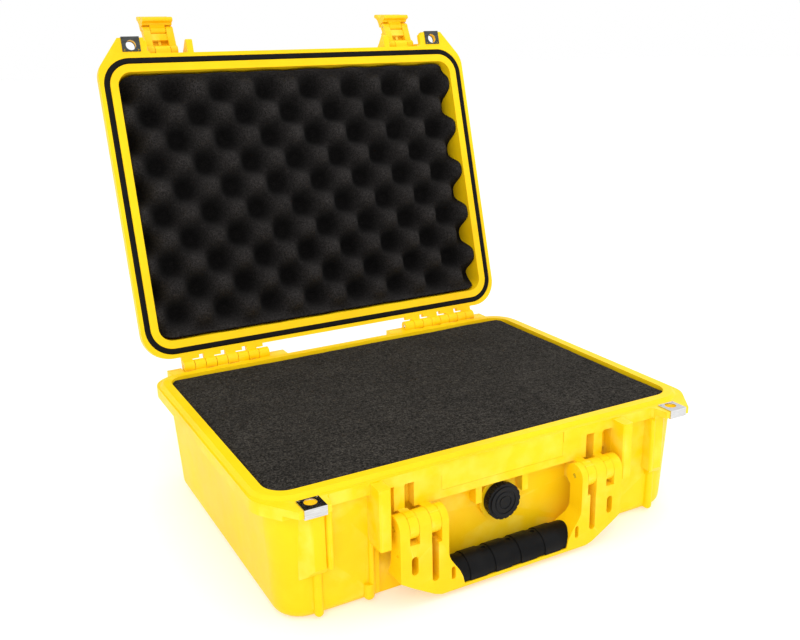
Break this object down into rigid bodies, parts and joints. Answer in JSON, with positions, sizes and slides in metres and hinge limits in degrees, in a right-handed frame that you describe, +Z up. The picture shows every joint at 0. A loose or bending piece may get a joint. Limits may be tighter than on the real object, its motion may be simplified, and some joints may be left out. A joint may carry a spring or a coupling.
{
  "type": "hard equipment case",
  "caption": "Hard equipment case, shown open: moulded tub with block foam, hinged lid with wavy foam and seal, folding handle, throw latches, padlock plates and valve.",
  "frame": {"origin": "on the underside of the tub, below the centre of its opening", "axes": "+Z up, X along the width of the case, -Y towards the handle and latches, +Y towards the hinge and the open lid"},
  "size_m": [0.5, 0.5648, 0.5373],
  "materials": {
    "yellow_shell": "moulded satin polypropylene with a fine texture",
    "yellow_handle": "moulded satin nylon",
    "yellow_latch": "moulded satin nylon",
    "yellow_plate": "smooth satin, blank",
    "gasket": "soft matt elastomer",
    "egg_foam": "open-cell foam, convoluted",
    "pluck_foam": "open-cell foam, cut into small blocks",
    "steel_pin": "ground stainless",
    "steel_plate": "brushed stainless sheet",
    "grip_rubber": "satin overmoulded rubber",
    "valve_black": "satin black plastic",
    "membrane": "white breathable membrane"
  },
  "bodies": {
    "base": {"base_shell": "yellow_shell", "pluck_foam_upper": "pluck_foam", "pluck_foam_lower": "pluck_foam", "base_foam_pad": "pluck_foam", "hinge_pin_left": "steel_pin", "hinge_pin_right": "steel_pin", "handle_pin_left": "steel_pin", "handle_pin_right": "steel_pin", "padlock_plate_base_left": "steel_plate", "padlock_plate_base_right": "steel_plate", "valve_body": "valve_black", "valve_cap": "valve_black", "valve_seal": "gasket", "valve_nut": "valve_black", "valve_membrane": "membrane", "nameplate": "yellow_plate"},
    "lid": {"lid_shell": "yellow_shell", "lid_gasket": "gasket", "lid_foam": "egg_foam", "padlock_plate_lid_left": "steel_plate", "padlock_plate_lid_right": "steel_plate", "latch_left_pivot_pin": "steel_pin", "latch_right_pivot_pin": "steel_pin"},
    "handle": {"handle_frame": "yellow_handle", "handle_grip": "grip_rubber"},
    "latch_left_arm": {"latch_left_arm": "yellow_latch", "latch_left_lever_pin": "steel_pin"},
    "latch_left_lever": {"latch_left_lever": "yellow_latch"},
    "latch_right_arm": {"latch_right_arm": "yellow_latch", "latch_right_lever_pin": "steel_pin"},
    "latch_right_lever": {"latch_right_lever": "yellow_latch"}
  },
  "joints": [
    {"name": "lid_hinge", "type": "hinge", "parent": "base", "child": "lid", "pos_m": [0, 0.195, 0.13], "axis": [1, 0, 0], "range_deg": [0, 105.3]},
    {"name": "handle_hinge", "type": "hinge", "parent": "base", "child": "handle", "pos_m": [0, -0.1965, 0.0805], "axis": [-1, 0, 0], "range_deg": [0, 95]},
    {"name": "latch_left_pivot", "type": "hinge", "parent": "lid", "child": "latch_left_arm", "pos_m": [-0.1656, 0.31588, 0.49608], "axis": [1, 0, 0], "range_deg": [0, 100]},
    {"name": "latch_right_pivot", "type": "hinge", "parent": "lid", "child": "latch_right_arm", "pos_m": [0.1656, 0.31588, 0.49608], "axis": [1, 0, 0], "range_deg": [0, 100]},
    {"name": "latch_left_lever_pivot", "type": "hinge", "parent": "latch_left_arm", "child": "latch_left_lever", "pos_m": [-0.1656, 0.33056, 0.52011], "axis": [1, 0, 0], "range_deg": [-45, 0]},
    {"name": "latch_right_lever_pivot", "type": "hinge", "parent": "latch_right_arm", "child": "latch_right_lever", "pos_m": [0.1656, 0.33056, 0.52011], "axis": [1, 0, 0], "range_deg": [-45, 0]}
  ]
}
